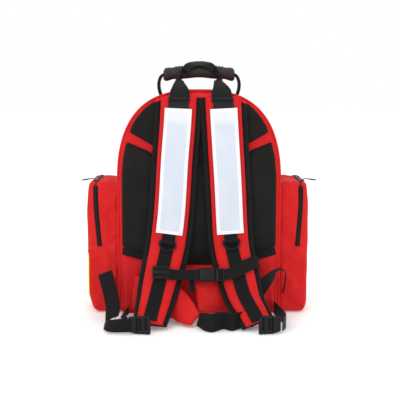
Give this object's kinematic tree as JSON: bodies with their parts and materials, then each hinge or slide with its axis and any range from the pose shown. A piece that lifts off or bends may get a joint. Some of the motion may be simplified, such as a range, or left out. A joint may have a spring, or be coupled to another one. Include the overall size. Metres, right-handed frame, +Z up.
{
  "type": "trauma backpack",
  "caption": "Dome-topped red medical backpack with padded straps, reflective strips, side pockets, moulded carry handle, sternum strap and hip belt.",
  "frame": {"origin": "centre of the pack's overall box at the floor it stands on", "axes": "+Z up; -Y is the harness side that meets the wearer's back, +Y the front with the flap and front pocket; +X is the right when facing the harness"},
  "size_m": [0.4492, 0.3777, 0.4841],
  "materials": {
    "red_fabric": "woven nylon with a light coat",
    "frame_plastic": "satin",
    "lining": "woven",
    "base_cloth": "coated weave",
    "spacer_mesh": "air mesh",
    "black_binding": "smooth binding",
    "zip_tape": "coil zip",
    "reflective_tape": "glass-bead silver",
    "hi_vis_tape": "fluorescent",
    "black_webbing": "ribbed webbing",
    "hard_plastic": "satin moulding",
    "zip_metal": "black enamel",
    "pull_plastic": "soft moulding",
    "grip_rubber": "moulded"
  },
  "bodies": {
    "pack": {"back_panel": "red_fabric", "frame_sheet": "frame_plastic", "gusset": "red_fabric", "rear_piping": "red_fabric", "main_zip_tape": "zip_tape", "front_sill": "red_fabric", "base_pad": "base_cloth", "dividers": "lining", "mesh_pad_upper": "spacer_mesh", "mesh_pad_lower": "spacer_mesh", "pad_binding": "black_binding", "lower_back_cover": "red_fabric", "side_pocket_left": "red_fabric", "side_pocket_right": "red_fabric", "side_zips": "zip_tape", "side_tapes": "hi_vis_tape", "handle_webbing": "black_webbing", "rear_loop": "black_webbing", "lower_webbing_left": "black_webbing", "lower_webbing_right": "black_webbing", "hip_webbing": "black_webbing"},
    "flap": {"flap_shell": "red_fabric", "flap_tape": "reflective_tape", "front_pocket": "red_fabric", "front_zip": "zip_tape"},
    "front_lid": {"front_pocket_lid": "red_fabric", "lid_tape": "reflective_tape"},
    "front_slider": {"front_slider": "zip_metal"},
    "front_pull": {"front_pull": "pull_plastic"},
    "main_slider": {"main_slider": "zip_metal"},
    "main_pull": {"main_pull": "pull_plastic"},
    "handle": {"handle_grip": "grip_rubber"},
    "strap_left": {"strap_backing_left": "spacer_mesh", "strap_pad_left": "red_fabric", "reflective_strip_left": "reflective_tape", "strap_webbing_left": "black_webbing"},
    "strap_right": {"strap_backing_right": "spacer_mesh", "strap_pad_right": "red_fabric", "reflective_strip_right": "reflective_tape", "strap_webbing_right": "black_webbing", "webbing_tail_right": "black_webbing"},
    "lock_left": {"ladder_lock_left": "hard_plastic", "webbing_tail_left": "black_webbing"},
    "lock_right": {"ladder_lock_right": "hard_plastic"},
    "ring_left": {"d_ring_left": "hard_plastic"},
    "ring_right": {"d_ring_right": "hard_plastic"},
    "sternum": {"sternum_slider": "hard_plastic", "sternum_webbing_left": "black_webbing", "sternum_tail": "black_webbing", "buckle_female": "hard_plastic"},
    "sternum_male": {"buckle_male": "hard_plastic", "sternum_webbing_right": "black_webbing"},
    "wing_left": {"hip_wing_left": "red_fabric"},
    "wing_right": {"hip_wing_right": "red_fabric"},
    "lid_left": {"side_lid_left": "red_fabric"},
    "side_slider_left": {"side_slider_left": "zip_metal"},
    "side_pull_left": {"side_pull_left": "pull_plastic"},
    "lid_right": {"side_lid_right": "red_fabric"},
    "side_slider_right": {"side_slider_right": "zip_metal"},
    "side_pull_right": {"side_pull_right": "pull_plastic"}
  },
  "joints": [
    {"name": "flap_hinge", "type": "hinge", "parent": "pack", "child": "flap", "pos_m": [0, 0.1174, 0.0602], "axis": [-1, 0, 0], "range_deg": [0, 85]},
    {"name": "front_lid_hinge", "type": "hinge", "parent": "flap", "child": "front_lid", "pos_m": [0, 0.1688, 0.062], "axis": [-1, 0, 0], "range_deg": [0, 75]},
    {"name": "front_zip_slide", "type": "slide", "parent": "flap", "child": "front_slider", "axis": [-1, 0, 0], "range_m": [-0.04, 0.12]},
    {"name": "front_pull_hinge", "type": "hinge", "parent": "front_slider", "child": "front_pull", "pos_m": [0.04, 0.1649, 0.2599], "axis": [1, 0, 0], "range_deg": [0, 80]},
    {"name": "main_zip_slide", "type": "slide", "parent": "pack", "child": "main_slider", "axis": [0, 0, 1], "range_m": [-0.09, 0.11]},
    {"name": "main_pull_hinge", "type": "hinge", "parent": "main_slider", "child": "main_pull", "pos_m": [-0.1567, 0.0715, 0.1738], "axis": [0, 1, 0], "range_deg": [0, 100]},
    {"name": "handle_slide", "type": "slide", "parent": "pack", "child": "handle", "axis": [0, 0, 1], "range_m": [-0.019, 0], "deforming": ["handle_webbing", "rear_loop"]},
    {"name": "strap_left_hinge", "type": "hinge", "parent": "pack", "child": "strap_left", "pos_m": [0, -0.0776, 0.412], "axis": [-1, 0, 0], "range_deg": [0, 20], "deforming": ["lower_webbing_left", "hip_webbing"]},
    {"name": "strap_right_hinge", "type": "hinge", "parent": "pack", "child": "strap_right", "pos_m": [0, -0.0776, 0.412], "axis": [-1, 0, 0], "range_deg": [0, 20], "deforming": ["lower_webbing_right", "hip_webbing"]},
    {"name": "lock_left_tilt", "type": "hinge", "parent": "strap_left", "child": "lock_left", "pos_m": [-0.08968, -0.18534, 0.0173], "axis": [0, 0, 1], "range_deg": [-4, 20], "deforming": ["lower_webbing_left"]},
    {"name": "lock_right_tilt", "type": "hinge", "parent": "strap_right", "child": "lock_right", "pos_m": [0.10964, -0.185, 0.0173], "axis": [0, 0, -1], "range_deg": [-4, 20], "deforming": ["lower_webbing_right"]},
    {"name": "ring_left_hinge", "type": "hinge", "parent": "strap_left", "child": "ring_left", "pos_m": [-0.06057, -0.0906, 0.14843], "axis": [-0.9903, 0.0287, 0.1362], "range_deg": [0, 110]},
    {"name": "ring_right_hinge", "type": "hinge", "parent": "strap_right", "child": "ring_right", "pos_m": [0.06022, -0.08996, 0.15171], "axis": [-0.9948, -0.019, -0.1], "range_deg": [0, 110]},
    {"name": "sternum_height", "type": "slide", "parent": "strap_left", "child": "sternum", "axis": [0, 0.3976, 0.9176], "range_m": [-0.012, 0.012]},
    {"name": "buckle_release", "type": "slide", "parent": "sternum", "child": "sternum_male", "axis": [1, 0, 0], "range_m": [0, 0.03]},
    {"name": "wing_left_fold", "type": "hinge", "parent": "pack", "child": "wing_left", "pos_m": [-0.128, -0.069, 0.046], "axis": [0, 0, 1], "range_deg": [0, 8], "deforming": ["hip_webbing"]},
    {"name": "wing_right_fold", "type": "hinge", "parent": "pack", "child": "wing_right", "pos_m": [0.128, -0.069, 0.052], "axis": [0, 0, -1], "range_deg": [0, 10]},
    {"name": "side_lid_left_hinge", "type": "hinge", "parent": "pack", "child": "lid_left", "pos_m": [-0.21, 0.011, 0.1285], "axis": [0, -1, 0], "range_deg": [0, 95]},
    {"name": "side_zip_left_slide", "type": "slide", "parent": "pack", "child": "side_slider_left", "axis": [0, 1, 0], "range_m": [0, 0.08]},
    {"name": "side_pull_left_hinge", "type": "hinge", "parent": "side_slider_left", "child": "side_pull_left", "pos_m": [-0.2005, -0.029, 0.2609], "axis": [0, 1, 0], "range_deg": [0, 80]},
    {"name": "side_lid_right_hinge", "type": "hinge", "parent": "pack", "child": "lid_right", "pos_m": [0.21, 0.011, 0.1285], "axis": [0, 1, 0], "range_deg": [0, 95]},
    {"name": "side_zip_right_slide", "type": "slide", "parent": "pack", "child": "side_slider_right", "axis": [0, 1, 0], "range_m": [0, 0.08]},
    {"name": "side_pull_right_hinge", "type": "hinge", "parent": "side_slider_right", "child": "side_pull_right", "pos_m": [0.2005, -0.029, 0.2609], "axis": [0, -1, 0], "range_deg": [0, 80]}
  ],
  "couplings": [
    {"joint": "strap_right_hinge", "follows": "strap_left_hinge", "ratio": 1},
    {"joint": "wing_right_fold", "follows": "wing_left_fold", "ratio": 1.25}
  ]
}
